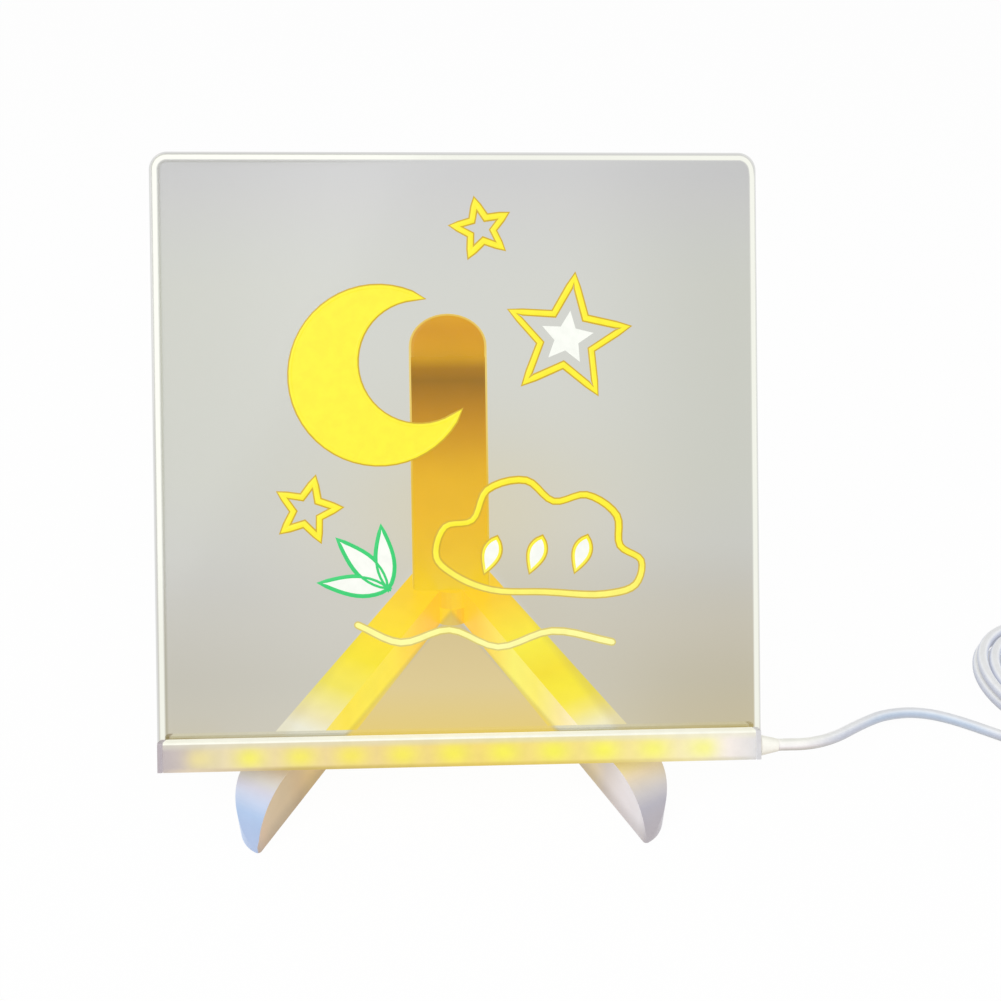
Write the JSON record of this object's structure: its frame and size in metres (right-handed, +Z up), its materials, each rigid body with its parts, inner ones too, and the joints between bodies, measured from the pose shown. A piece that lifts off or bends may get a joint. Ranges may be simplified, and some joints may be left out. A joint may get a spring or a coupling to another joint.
{
  "type": "led writing board",
  "caption": "Clear acrylic writing sheet edge-lit by a light bar, leaning on a folding Y-shaped stand, with a coiled power cord and USB plug.",
  "frame": {"origin": "on the table, under the middle of the stand and board without the cord", "axes": "+X to the user's right along the light bar, +Y to the back, +Z up"},
  "size_m": [0.3992, 0.1702, 0.1876],
  "materials": {
    "clear_acrylic": "clear acrylic with polished edges",
    "milky_bar": "milky translucent plastic",
    "white_plastic": "white moulded plastic, satin",
    "board_white": "white solder mask",
    "led_yellow": "phosphor coated chip",
    "resistor_black": "black chip",
    "lead_red": "red wire insulation",
    "lead_black": "black wire insulation",
    "cord_white": "white flexible plastic",
    "steel": "plated steel",
    "tongue_black": "black plastic"
  },
  "bodies": {
    "stand": {"stand_post": "white_plastic", "pivot_screw": "steel", "pivot_washer": "steel", "power_cord": "cord_white", "cord_coil": "cord_white", "cord_tail": "cord_white", "usb_plug_body": "cord_white", "usb_plug_shell": "steel", "usb_plug_tongue": "tongue_black"},
    "left_leg": {"left_leg": "white_plastic"},
    "right_leg": {"right_leg": "white_plastic"},
    "light_board": {"light_bar_housing": "milky_bar", "left_end_cap": "white_plastic", "right_end_cap": "white_plastic", "led_circuit_board": "board_white", "supply_lead_positive": "lead_red", "supply_lead_negative": "lead_black", "cable_gland": "white_plastic", "led_01": "led_yellow", "led_02": "led_yellow", "led_03": "led_yellow", "led_04": "led_yellow", "led_05": "led_yellow", "led_06": "led_yellow", "led_07": "led_yellow", "led_08": "led_yellow", "led_09": "led_yellow", "led_10": "led_yellow", "led_11": "led_yellow", "resistor_1": "resistor_black", "resistor_2": "resistor_black", "resistor_3": "resistor_black", "resistor_4": "resistor_black"},
    "sheet": {"writing_sheet": "clear_acrylic"}
  },
  "joints": [
    {"name": "left_leg_swing", "type": "hinge", "parent": "stand", "child": "left_leg", "pos_m": [-0.0034, 0.05188, 0.0088], "axis": [0, 0, 1], "range_deg": [0, 26.5]},
    {"name": "right_leg_swing", "type": "hinge", "parent": "stand", "child": "right_leg", "pos_m": [-0.0034, 0.05188, 0.0088], "axis": [0, 0, 1], "range_deg": [-26.5, 0]},
    {"name": "board_lift", "type": "slide", "parent": "stand", "child": "light_board", "axis": [0, 0.5736, 0.8192], "range_m": [0, 0.035]},
    {"name": "sheet_pull", "type": "slide", "parent": "light_board", "child": "sheet", "axis": [0, 0.5736, 0.8192], "range_m": [0, 0.005]}
  ]
}
